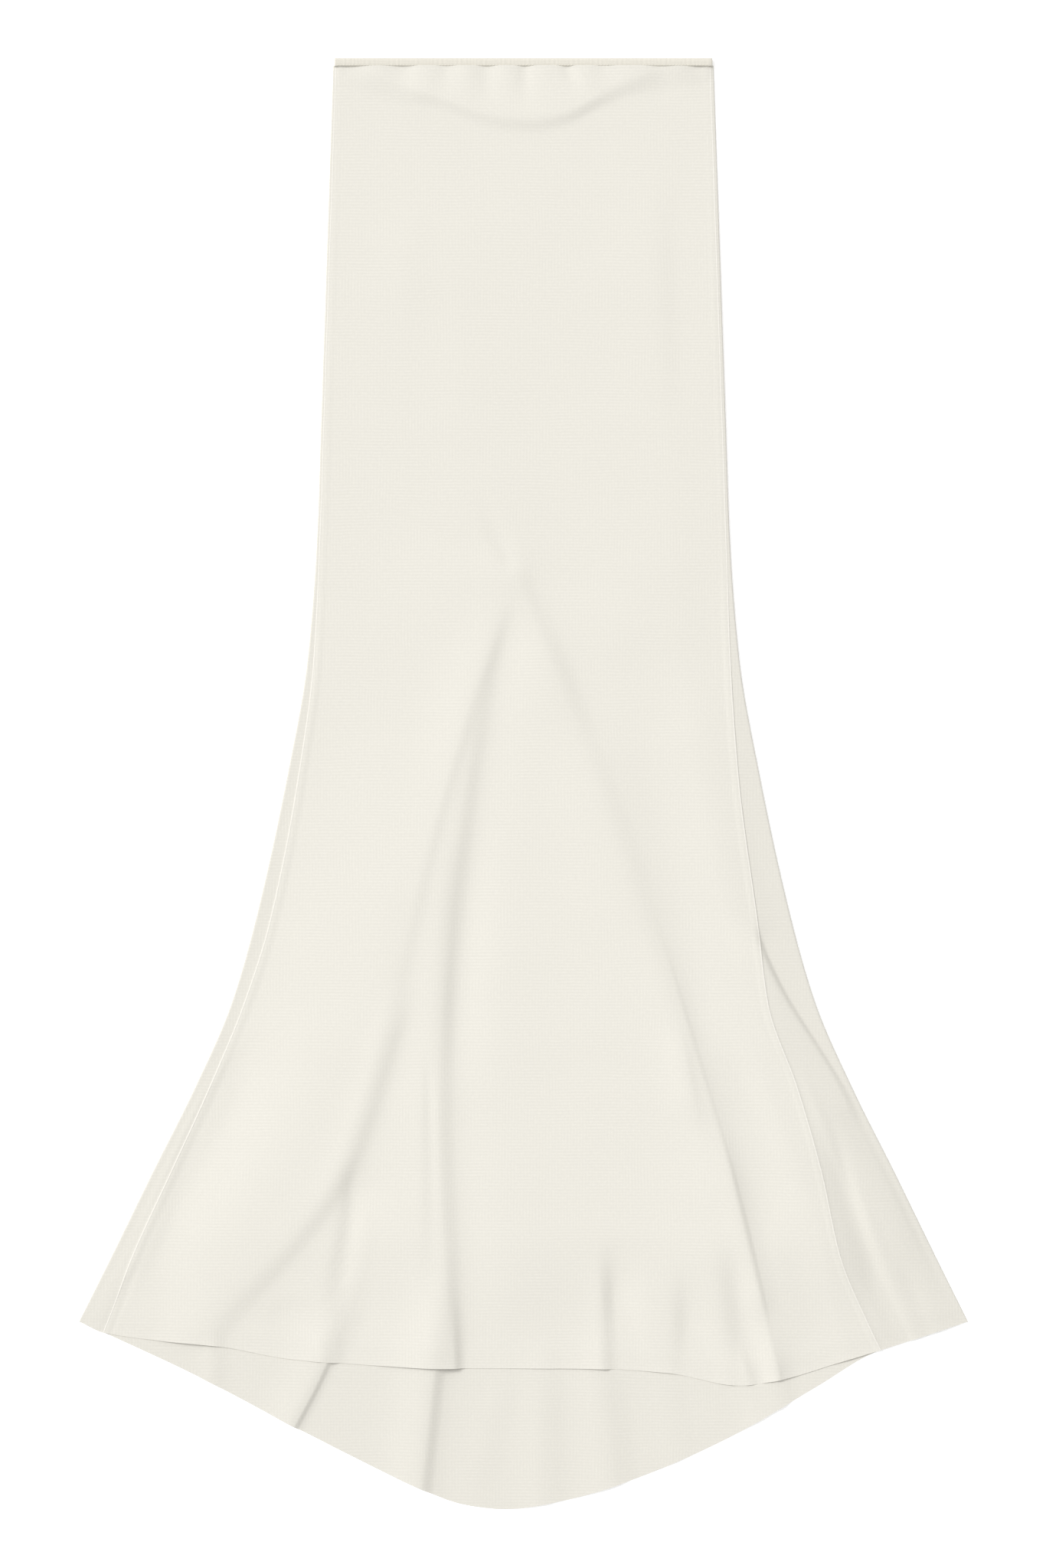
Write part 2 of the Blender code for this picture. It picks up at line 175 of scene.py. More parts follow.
# x is given at four equal steps of drop from start to end. A fold grows over fade_in, and dies
# away over fade_out before its end, or runs on to the hem where that is 0. Negative heights
# are hollows, and left and right are the widths of its two sides.
Fold = collections.namedtuple(
    "Fold",
    "start end x_start x_third x_two_thirds x_end height left right fade_in fade_out",
)
TOP_FOLDS = {
    "left_swell": Fold(500, 1080, -115, -150, -208, -290, 0.8, 60, 50, 200, 0),
    "left_seam_roll": Fold(800, 1070, -226, -281, -318, -350, 0.5, 10, 6, 90, 0),
    "left_hollow": Fold(800, 1070, -212, -264, -295, -332, -2.0, 10, 38, 80, 0),
    "left_pinch": Fold(1000, 1070, -321, -331, -341, -351, -2.0, 4, 5, 40, 0),
    "left_drag": Fold(440, 800, -10, -52, -86, -112, 1.5, 30, 8, 70, 130),
    "left_roll": Fold(690, 1070, -94, -123, -166, -276, 1.2, 30, 14, 130, 0),
    "left_tuck": Fold(690, 1070, -76, -104, -147, -246, -1.0, 11, 34, 130, 0),
    "left_deepen": Fold(760, 985, -95, -117, -141, -180, 1.7, 14, 9, 60, 70),
    "inner_crease": Fold(915, 1080, -140, -145, -153, -150, -2.4, 6, 28, 40, 0),
    "inner_ridge": Fold(940, 1080, -131, -135, -143, -156, 1.0, 7, 9, 50, 0),
    "middle_roll": Fold(424, 1100, -16, -55, -72, -60, 1.8, 26, 11, 200, 0),
    "middle_tuck": Fold(424, 1100, -2, -40, -56, -43, -1.4, 12, 24, 70, 0),
    "middle_deepen": Fold(620, 870, -41, -53, -57, -58, -1.7, 10, 20, 90, 90),
    "middle_strip": Fold(820, 1060, -80, -78, -77, -76, -0.9, 4, 5, 60, 60),
    "middle_fall": Fold(1010, 1100, -62, -60, -59, -58, 3.0, 12, 5, 70, 0),
    "apex_tuck": Fold(405, 585, -2, 24, 48, 68, -1.4, 14, 42, 40, 90),
    "apex_roll": Fold(400, 585, -20, 4, 29, 52, 2.0, 60, 15, 40, 90),
    "apex_drag": Fold(360, 432, -42, -30, -18, -8, -1.1, 6, 9, 40, 14),
    "front_roll": Fold(470, 1105, 8, 84, 141, 165, 1.3, 40, 16, 130, 0),
    "front_tuck": Fold(450, 1105, 21, 103, 174, 220, -0.8, 12, 32, 90, 0),
    "front_edge": Fold(700, 1100, 103, 144, 182, 212, 1.5, 24, 4, 110, 0),
    "front_pinch": Fold(880, 1060, 161, 175, 189, 204, 1.6, 18, 3.5, 60, 30),
    "front_lip": Fold(800, 900, 127, 133, 139, 146, 1.3, 14, 7, 40, 40),
    "front_shade": Fold(470, 860, 98, 114, 144, 176, -2.5, 28, 46, 70, 110),
    "right_roll": Fold(640, 1095, 130, 168, 226, 262, 1.3, 34, 24, 160, 0),
    "right_hollow": Fold(800, 1010, 162, 186, 203, 216, -1.8, 12, 14, 60, 70),
    "far_hollow": Fold(960, 1095, 224, 230, 240, 252, -1.8, 10, 16, 50, 0),
    "side_tuck": Fold(715, 892, 191, 218, 255, 294, -3.6, 4, 14, 40, 14),
    "side_lip": Fold(715, 892, 185, 212, 249, 288, 1.7, 16, 5, 40, 20),
    "side_roll": Fold(800, 1065, 217, 266, 313, 340, 1.8, 15, 16, 90, 0),
    "side_line": Fold(830, 1010, 226, 250, 275, 300, 0.9, 5, 6, 50, 60),
    "side_crease": Fold(885, 1080, 254, 273, 295, 320, -4.2, 15, 6, 70, 0),
    "side_pinch": Fold(1020, 1085, 290, 299, 308, 317, 2.4, 12, 4, 35, 0),
    "side_soft": Fold(990, 1068, 314, 321, 330, 339, -1.5, 8, 10, 40, 0),
    "upper_shade": Fold(95, 340, 128, 130, 132, 126, -1.0, 13, 24, 60, 120),
    "upper_ridge": Fold(95, 300, -96, -100, -104, -106, 0.7, 30, 18, 60, 120),
    "hem_dip_left": Fold(1030, 1085, -200, -201, -202, -203, -2.8, 8, 18, 30, 0),
    "hem_dip_inner": Fold(1050, 1090, -146, -149, -152, -156, -1.8, 6, 8, 25, 0),
    "hem_ridge_middle": Fold(990, 1100, 64, 66, 68, 70, 1.2, 11, 6, 60, 0),
    "hem_dip_middle": Fold(980, 1100, 72, 74, 76, 78, -4.0, 5, 20, 60, 0),
    "hem_dip_right": Fold(1000, 1102, 134, 136, 138, 140, -3.6, 8, 26, 60, 0),
    "hem_dip_far": Fold(975, 1105, 174, 179, 184, 191, -3.2, 12, 14, 60, 0),
}
UNDER_FOLDS = {
    "left_soft": Fold(1050, 1112, -256, -257, -258, -259, 1.4, 10, 5, 30, 0),
    "left_lap": Fold(1000, 1150, -136, -150, -170, -196, 3.2, 24, 4, 90, 0),
    "middle_lap": Fold(980, 1200, -64, -71, -79, -87, 4.2, 24, 8, 110, 0),
    "streak": Fold(1085, 1190, -12, -20, -29, -38, 0.9, 8, 4, 40, 0),
    "soft_wave": Fold(1050, 1208, 17, 18, 19, 20, 1.8, 17, 8, 90, 0),
    "far_wave": Fold(1050, 1195, 64, 68, 73, 77, 2.5, 20, 6, 70, 0),
    "far_streak": Fold(1080, 1175, 118, 122, 127, 132, 0.8, 10, 6, 40, 0),
    "corner_soft": Fold(1060, 1128, 174, 181, 189, 199, 1.6, 11, 5, 40, 0),
    "corner_lap": Fold(1040, 1128, 207, 210, 214, 217, 2.4, 11, 4, 50, 0),
}

# Creases that the elastic gathers in the front, from the casing down
Gather = collections.namedtuple("Gather", "x_top x_foot reach height width")
GATHERS = (
    Gather(-146, -143, 20, -1.5, 9),
    Gather(-122, -131, 34, 0.4, 8),
    Gather(-100, -96, 44, -1.4, 9),
    Gather(-84, -92, 60, 0.5, 9),
    Gather(-63, -69, 42, -0.9, 6),
    Gather(-47, -46, 54, 0.6, 7),
    Gather(-31, -28, 48, -1.2, 6),
    Gather(-15, -12, 36, 0.5, 6),
    Gather(1, 3, 50, -1.4, 5),
    Gather(18, 20, 34, 0.4, 5),
    Gather(34, 47, 34, -1.7, 4.5),
    Gather(50, 62, 44, 0.5, 7),
    Gather(66, 75, 38, -0.8, 6),
    Gather(89, 92, 54, 0.4, 9),
    Gather(113, 119, 44, -0.9, 8),
    Gather(134, 139, 40, 0.6, 7),
    Gather(147, 145, 18, -1.3, 7),
)

# Mesh lines that run down the panels along their creases, with the columns up to the next one
Line = collections.namedtuple("Line", "fold shift waist_x columns")
FRONT_LINES = (
    Line("left_roll", 0, -78, 6),
    Line("left_tuck", 0, -64, 20),
    Line("middle_roll", 0, -36, 9),
    Line("middle_tuck", 0, -24, 44),
    Line("front_roll", 6, 36, 18),
    Line("front_edge", -4, 56, 5),
    Line("front_edge", 5, 64, 4),
    Line("right_roll", 8, 96, 36),
)
SEAM_COLUMNS = 3
FRONT_FIRST_COLUMNS = 34
UNDER_LINES = (
    Line("left_lap", 0, -62, 4),
    Line("left_lap", 6, -56, 22),
    Line("middle_lap", 0, -28, 6),
    Line("middle_lap", 12, -20, 50),
)
UNDER_FIRST_COLUMNS = 30
LEFT_WRAP_COLUMNS = 10
RIGHT_WRAP_COLUMNS = 30
BEND_COLUMNS = 6
SEAM_ROWS = 520
RIDGE_COLUMNS = 6
ALLOWANCE_COLUMNS = 3
CASING_AROUND = 620
CASING_GIRTH = 12
# Steps that find where a mesh line meets the waist and the hem
SETTLE_STEPS = 30
# How far the topstitch lies from the casing's lower edge, and the side seam's stitch length
STITCH_INSET = 0.9
STITCH_END_GAP = 4.0
# How far a panel reaches under the casing, and how far the casing stands over the waist line
PANEL_TUCK = 1.0
CASING_STAND = 0.6
# The casing's puckers round the waist and their share of its thickness
CASING_PUCKERS = 190
CASING_PUCKER_SHARE = 0.16
# How square the casing's section is, from 1 for round down to 0 for square
CASING_ROUND = 0.6
SEAM_STITCH = 3.4
SEAM_PUCKER_SHARE = 0.12
RIDGE_HEIGHT = 0.32
RIDGE_SUNK = 0.1
ALLOWANCE_SUNK = 0.5
ALLOWANCE_INSET = 0.3
PANEL_ALPHA = 0.88
# Length of one turn of the thread's twist, in metres
THREAD_TWIST = 0.0006
# Shares of the rows against shares of the drop, closest together under the casing
ROW_SPREAD = ((0.0, 0.0), (0.11, 0.04), (0.34, 0.39), (1.0, 1.0))


def linear(colour):
    """The linear RGBA of an sRGB hex colour."""
    parts = [int(colour[i:i + 2], 16) / 255 for i in (1, 3, 5)]
    return [p / 12.92 if p <= 0.04045 else ((p + 0.055) / 1.055) ** 2.4 for p in parts] + [1.0]


class SkirtSizes(bpy.types.PropertyGroup):
    """The sizes that a maker would change."""

    cloth: FloatProperty(
        name="Cloth Thickness", description="Thickness of the fine jersey",
        default=0.00045, unit="LENGTH")
    layer_rise: FloatProperty(
        name="Layer Rise", description="Height of the upper layer over the lower one",
        default=0.0022, unit="LENGTH")
    swell: FloatProperty(
        name="Flare Swell", description="How far the front swells over the flare",
        default=0.0050, unit="LENGTH")
    gather_strength: FloatProperty(
        name="Gather Strength", description="How strongly the elastic gathers the cloth",
        default=1.0, min=0.0, subtype="FACTOR")
    casing_height: FloatProperty(
        name="Casing Height", description="Height of the elastic casing",
        default=0.0065, unit="LENGTH")
    casing: FloatProperty(
        name="Casing Thickness", description="Thickness of the casing with its elastic",
        default=0.0018, unit="LENGTH")
    casing_rise: FloatProperty(
        name="Casing Rise", description="Height of the front casing over the back one",
        default=0.0026, unit="LENGTH")
    stitch_pitch: FloatProperty(
        name="Stitch Pitch", description="Distance from one topstitch to the next",
        default=0.0025, unit="LENGTH")
    thread: FloatProperty(
        name="Thread", description="Thickness of the sewing thread",
        default=0.00032, unit="LENGTH")
    seam_width: FloatProperty(
        name="Seam Ridge", description="Width of the ridge along a side seam",
        default=0.0013, unit="LENGTH")
    allowance: FloatProperty(
        name="Seam Allowance", description="Width of the trimmed allowance inside a side seam",
        default=0.0042, unit="LENGTH")
    rib_pitch: FloatProperty(
        name="Rib Pitch", description="Distance between the faint crosswise ribs",
        default=0.0026, unit="LENGTH")
    rows: IntProperty(
        name="Rows", description="Mesh rows down a panel",
        default=250)


class SkirtColours(bpy.types.PropertyGroup):
    """The colours of the cloth, the casing, the thread and the floor."""

    front: FloatVectorProperty(
        name="Front Jersey", description="Ivory of the front panel",
        default=linear("#e1ded5"), size=4, subtype="COLOR")
    # The back is the same jersey as the front, set a little darker: partly for its inside face,
    # partly painted shade for the side wraps, which lie in shade.
    back: FloatVectorProperty(
        name="Back Jersey", description="Ivory of the back panel",
        default=linear("#dddad1"), size=4, subtype="COLOR")
    casing: FloatVectorProperty(
        name="Casing", description="Ivory of the jersey over the elastic",
        default=linear("#d4d0c5"), size=4, subtype="COLOR")
    # Set darker than the front jersey: painted shade that keeps the lit seam ridge from reading as a
    # bright line.
    seam: FloatVectorProperty(
        name="Seam Ridge", description="Ivory of the turned edge along a side seam",
        default=linear("#dddad2"), size=4, subtype="COLOR")
    thread: FloatVectorProperty(
        name="Thread", description="Colour of the sewing thread",
        default=linear("#e4e0d2"), size=4, subtype="COLOR")
    floor: FloatVectorProperty(
        name="Floor", description="White of the studio floor",
        default=linear("#fafafa"), size=4, subtype="COLOR")


def smooth_curve(knots, values, at):
    """A curve through the values with no overshoot, carried on straight past both ends."""
    knots = np.asarray(knots, float)
    values = np.asarray(values, float)
    at = np.asarray(at, float)
    steps = np.diff(knots)
    slopes = np.diff(values) / steps
    tangents = np.zeros(len(knots))
    tangents[0] = slopes[0]
    tangents[-1] = slopes[-1]
    for i in range(1, len(knots) - 1):
        if slopes[i - 1] * slopes[i] > 0:
            tangents[i] = 2 / (1 / slopes[i - 1] + 1 / slopes[i])
    i = np.clip(np.searchsorted(knots, at) - 1, 0, len(steps) - 1)
    inside = np.clip(at, knots[0], knots[-1])
    t = (inside - knots[i]) / steps[i]
    start = (1 + 2 * t) * (1 - t) ** 2 * values[i] + t * (1 - t) ** 2 * steps[i] * tangents[i]
    end = t * t * (3 - 2 * t) * values[i + 1] + t * t * (t - 1) * steps[i] * tangents[i + 1]
    beyond = np.where(at < knots[0], at - knots[0], np.maximum(at - knots[-1], 0))
    return start + end + beyond * np.where(at < knots[0], tangents[0], tangents[-1])


def read_table(rows, key, column, at):
    return smooth_curve(
        [getattr(row, key) for row in rows], [getattr(row, column) for row in rows], at
    )


def ease(t):
    t = np.clip(t, 0, 1)
    return t * t * (3 - 2 * t)


def half_width(drop):
    return read_table(SECTIONS, "drop", "half_width", drop)


def left_seam(drop):
    return read_table(SECTIONS, "drop", "left_seam", drop)


def right_seam(drop):
    return read_table(SECTIONS, "drop", "right_seam", drop)


def back_waist_edge(x):
    return np.maximum(read_table(BACK_WAIST, "x", "drop", x), 0)


def top_hem_line(x):
    return read_table(TOP_HEM, "x", "drop", x)


def back_hem_line(x):
    return read_table(BACK_HEM, "x", "drop", x)


def fold_x(fold, drop):
    """Where a fold's line lies at a drop, held at its ends beyond them."""
    steps = np.linspace(fold.start, fold.end, 4)
    places = (fold.x_start, fold.x_third, fold.x_two_thirds, fold.x_end)
    return smooth_curve(steps, places, np.clip(drop, fold.start, fold.end))


def fold_height(fold, x, drop):
    away = x - fold_x(fold, drop)
    width = np.where(away < 0, fold.left, fold.right)
    grown = ease((drop - fold.start) / fold.fade_in)
    if fold.fade_out:
        grown = grown * ease((fold.end - drop) / fold.fade_out)
    return fold.height * grown * np.exp(-((away / width) ** 2))


def drape_noise(x, drop):
    """The slight unevenness of cloth that was smoothed by hand, in millimetres."""
    broad = np.sin(x / 37 + 1.7 * np.sin(drop / 83) + 0.4) * np.sin(drop / 61 + 1.3 * np.sin(x / 71))
    small = np.sin(x / 19 + drop / 47 + 2 * np.sin(drop / 131)) * np.sin(drop / 29 - x / 53 + 0.7)
    return BROAD_UNEVEN * broad + SMALL_UNEVEN * small


def under_height(sizes, x, drop):
    """The middle of the lower layer above the floor."""
    laps = sum(fold_height(fold, x, drop) for fold in UNDER_FOLDS.values())
    return sizes.cloth / MM / 2 + laps


def gathers(sizes, x, drop):
    """Uneven creases that the elastic draws in, dying out down the cloth."""
    total = np.zeros_like(x)
    for gather in GATHERS:
        share = drop / gather.reach
        away = (x - gather.x_top - (gather.x_foot - gather.x_top) * share) / gather.width
        total += gather.height * (1 - ease(share)) * np.exp(-(away**2) / (1 + share) ** 2)
    return total * sizes.gather_strength


def waist_lift(x, drop):
    """The casing holds the front up as far as the dipped back waist, where it falls by a step."""
    below = drop - back_waist_edge(x)
    corner = ease((np.abs(x) - CORNER_START) / CORNER_WIDTH)
    fallen = ease((below + PRINT_ABOVE) / (PRINT_FALL + CORNER_FALL * corner))
    return WAIST_LIFT * (1 - fallen)


def allowance_print(sizes, x, drop):
    """The low step where the front lies over the trimmed allowance of each side seam."""
    inward = np.minimum(x - left_seam(drop), right_seam(drop) - x)
    width = sizes.allowance / MM
    inner_edge = ease((width - inward) / ALLOWANCE_FADE + 0.5)
    return PRINT_ALLOWANCE * ease(inward / ALLOWANCE_STEP + 1) * inner_edge


def relief(sizes, x, drop):
    """How far the upper layer stands over a plain flat lay."""
    near_hem = ease(1 - (top_hem_line(x) - drop) / HEM_SETTLE)
    inward = half_width(drop) - np.abs(x)
    reach = np.where(x < 0, LEFT_EDGE_REACH, RIGHT_EDGE_REACH)
    swell = sizes.swell / MM * ease((drop - SWELL_START) / (SWELL_FULL - SWELL_START))
    swell = (SWELL_BASE + swell) * (1 - SWELL_HEM_LOSS * near_hem) * ease(inward / reach)
    folds = sum(fold_height(fold, x, drop) for fold in TOP_FOLDS.values())
    folds = folds + drape_noise(x, drop) * (1 + near_hem)
    raised = swell + folds * (1 - FOLD_HEM_LOSS * near_hem) * ease(inward / FOLD_REACH)
    raised = 0.5 * (raised + np.sqrt(raised**2 + SOFT_FLOOR))
    return ease(inward / FOLD_REACH) * (raised + allowance_print(sizes, x, drop))


def top_height(sizes, x, drop):
    """The middle of the upper layer, on the front panel and on both side wraps."""
    above_hem = top_hem_line(x) - drop
    rise = sizes.layer_rise / MM * (1 - RISE_HEM_LOSS * ease(1 - above_hem / HEM_SETTLE))
    rise = rise * (1 - HEM_ROLL_LOSS * ease(1 - above_hem / HEM_ROLL))
    below_waist = ease((drop - WAIST_FLAT) / WAIST_FLAT_FADE)
    flat = WAIST_FLAT_SHARE + (1 - WAIST_FLAT_SHARE) * below_waist
    edge = np.clip((half_width(drop) - np.abs(x)) / DRAWN_REACH, 0, 1)
    drawn = (waist_lift(x, drop) + gathers(sizes, x, drop)) * edge
    return under_height(sizes, x, drop) + (rise + relief(sizes, x, drop)) * flat + drawn


def place_rows(across, waist_line, hem_line, v):
    """The drop and x of each mesh point, for lines that run down the cloth from waist to hem."""
    first = waist_line(across(np.zeros_like(v)))
    last = hem_line(across(np.full_like(v, TIP_DROP)))
    for _ in range(SETTLE_STEPS):
        first = waist_line(across(first))
        last = hem_line(across(last))
    share = smooth_curve([r[0] for r in ROW_SPREAD], [r[1] for r in ROW_SPREAD], v)
    drop = first + share * (last - first)
    return drop, across(drop)


def line_x(line, folds, drop):
    """A mesh line: straight from the waist to its fold's start, then along the fold."""
    fold = folds[line.fold]
    below = fold_x(fold, drop) + line.shift
    above = line.waist_x + (fold.x_start + line.shift - line.waist_x) * ease(drop / fold.start)
    return np.where(drop < fold.start, above, below)


def spread(u, lines, counts, drop):
    """x at a share u of the columns, between lines that are functions of drop."""
    ends = np.concatenate([[0], np.cumsum(counts)]) / sum(counts)
    places = [line(drop) for line in lines]
    x = places[0]
    for i in range(len(counts)):
        t = np.clip((u - ends[i]) / (ends[i + 1] - ends[i]), 0, 1)
        x = x + t * (places[i + 1] - places[i])
    return x


def make_sheet(name, columns, rows, place):
    """A grid whose points are moved by place(u, v), with a UV map of its flat sizes in metres."""
    bpy.ops.object.select_all(action="DESELECT")
    bpy.ops.mesh.primitive_grid_add(x_subdivisions=columns, y_subdivisions=rows, size=2.0)
    piece = bpy.context.object
    piece.name = name
    mesh = piece.data
    mesh.name = name
    points = np.empty(len(mesh.vertices) * 3)
    mesh.vertices.foreach_get("co", points)
    points = points.reshape(-1, 3)
    x, drop, height = place((points[:, 0] + 1) / 2, (1 - points[:, 1]) / 2)
    points = np.stack([x * MM, WAIST_Y - drop * MM, height * MM], axis=1)
    mesh.vertices.foreach_set("co", points.ravel())
    corners = np.empty(len(mesh.loops), int)
    mesh.loops.foreach_get("vertex_index", corners)
    flat = np.stack([x * MM, -drop * MM], axis=1)
    mesh.uv_layers.active.name = UV_NAME
    mesh.uv_layers.active.uv.foreach_set("vector", flat[corners].ravel())
    mesh.update()
    return piece


def give_wall(piece, wall):
    """Gives an open sheet its thickness, half to each side, and shades it smooth."""
    solidify = piece.modifiers.new("wall", "SOLIDIFY")
    solidify.thickness = wall
    solidify.offset = 0.0
    solidify.use_even_offset = False
    bpy.context.view_layer.objects.active = piece
    bpy.ops.object.modifier_apply(modifier=solidify.name)
    bpy.ops.object.shade_smooth_by_angle(angle=math.radians(60))


def finish_piece(piece, material):
    """Gives a piece its material and its slot, and lets it ride with the skirt."""
    piece.data.materials.clear()
    piece.data.materials.append(material)
    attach(piece, ROOT)


def add_node(tree, kind, inputs=None, **settings):
    """Adds a node with its settings, and fills its sockets with values or links."""
    node = tree.nodes.new(kind)
    for name, value in settings.items():
        setattr(node, name, value)
    for socket, value in (inputs or {}).items():
        if isinstance(value, bpy.types.NodeSocket):
            tree.links.new(value, node.inputs[socket])
        else:
            node.inputs[socket].default_value = value
    return node


def fine_viscose_jersey(name, colour, rib_pitch, alpha):
    """Fine knitted viscose, a little sheer."""
    # To the eye: a matt, soft ivory that dims gently in the hollows, with a faint broken rib
    material = bpy.data.materials.new(name)
    material.use_nodes = True
    tree = material.node_tree
    shader = tree.nodes["Principled BSDF"]
    place = add_node(tree, "ShaderNodeUVMap", uv_map=UV_NAME)
    # A wave texture's band is pi / 10 units long at scale 1. The real stitches are finer than
    # a millimetre: these ribs are drawn coarser so that they show
    courses = add_node(
        tree, "ShaderNodeTexWave",
        {"Vector": place.outputs["UV"], "Scale": math.pi / 10 / rib_pitch, "Distortion": 6.0,
         "Detail": 3.0, "Detail Scale": 0.09},
        wave_type="BANDS", bands_direction="Y")
    wales = add_node(
        tree, "ShaderNodeTexWave",
        {"Vector": place.outputs["UV"], "Scale": math.pi / 10 / rib_pitch, "Distortion": 7.0,
         "Detail": 3.0, "Detail Scale": 0.07},
        wave_type="BANDS", bands_direction="X")
    patches = add_node(
        tree, "ShaderNodeTexNoise",
        {"Vector": place.outputs["UV"], "Scale": 38.0, "Detail": 3.0, "Roughness": 0.6})
    share = add_node(
        tree, "ShaderNodeMapRange",
        {"Value": patches.outputs["Fac"], "From Min": 0.3, "From Max": 0.6, "To Min": 0.0,
         "To Max": 1.0})
    knit = add_node(
        tree, "ShaderNodeMix",
        {"Factor": share.outputs["Result"], "A": wales.outputs["Fac"], "B": courses.outputs["Fac"]},
        data_type="FLOAT")
    grain = add_node(
        tree, "ShaderNodeTexNoise",
        {"Vector": place.outputs["UV"], "Scale": 420.0, "Detail": 4.0, "Roughness": 0.75})
    shade = add_node(
        tree, "ShaderNodeMath",
        {0: grain.outputs["Fac"], 1: knit.outputs["Result"], 2: grain.outputs["Fac"]},
        operation="MULTIPLY_ADD")
    amount = add_node(
        tree, "ShaderNodeMapRange",
        {"Value": shade.outputs[0], "From Min": 0.35, "From Max": 1.15, "To Min": 0.0, "To Max": 1.0})
    tone = add_node(
        tree, "ShaderNodeMix",
        {"Factor": amount.outputs["Result"], "A": [c * 0.955 for c in colour[:3]] + [1.0],
         "B": [min(c * 1.035, 1.0) for c in colour[:3]] + [1.0]},
        data_type="RGBA")
    bump = add_node(
        tree, "ShaderNodeBump",
        {"Height": shade.outputs[0], "Strength": 0.25, "Distance": 0.0002})
    tree.links.new(tone.outputs["Result"], shader.inputs["Base Color"])
    tree.links.new(bump.outputs["Normal"], shader.inputs["Normal"])
    shader.inputs["Roughness"].default_value = 0.9
    shader.inputs["Specular IOR Level"].default_value = 0.25
    shader.inputs["Sheen Weight"].default_value = 0.12
    shader.inputs["Sheen Roughness"].default_value = 0.5
    shader.inputs["Alpha"].default_value = alpha
    return material


def front_lines(sizes):
    """The front panel's mesh lines from the left seam to the right, and its columns."""
    print_edge = sizes.allowance / MM + 1.5
    lines = [left_seam, lambda drop: left_seam(drop) + print_edge]
    counts = [SEAM_COLUMNS, FRONT_FIRST_COLUMNS]
    for line in FRONT_LINES:
        lines.append(lambda drop, line=line: line_x(line, TOP_FOLDS, drop))
        counts.append(line.columns)
    lines += [lambda drop: right_seam(drop) - print_edge, right_seam]
    counts.append(SEAM_COLUMNS)
    return lines, counts


class SKIRT_OT_front_panel(bpy.types.Operator):
    """Makes the front panel, which lies on top from seam to seam"""

    bl_idname = "skirt.front_panel"
    bl_label = "Front Panel"

    def execute(self, context):
        sizes = context.scene.skirt_sizes
        lines, counts = front_lines(sizes)
        casing_height = sizes.casing_height / MM

        def place(u, v):
            def across(drop):
                return spread(u, lines, counts, drop)

            drop, x = place_rows(
                across, lambda x: np.full_like(x, casing_height - PANEL_TUCK), top_hem_line, v)
            return x, drop, top_height(sizes, x, drop)

        piece = make_sheet("front_panel_cloth", sum(counts), sizes.rows, place)
        give_wall(piece, sizes.cloth)
        material = fine_viscose_jersey(
            "fine_viscose_jersey_front", context.scene.skirt_colours.front, sizes.rib_pitch,
            PANEL_ALPHA)
        finish_piece(piece, material)
        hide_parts("front_panel")
        return {"FINISHED"}


def under_lines(sizes):
    """The lower layer's mesh lines between the two side folds, and its columns."""
    inset = (sizes.cloth + sizes.layer_rise) / MM / 2
    lines = [lambda drop: inset - half_width(drop)]
    counts = [UNDER_FIRST_COLUMNS]
    for line in UNDER_LINES:
        lines.append(lambda drop, line=line: line_x(line, UNDER_FOLDS, drop))
        counts.append(line.columns)
    lines.append(lambda drop: half_width(drop) - inset)
    return lines, counts


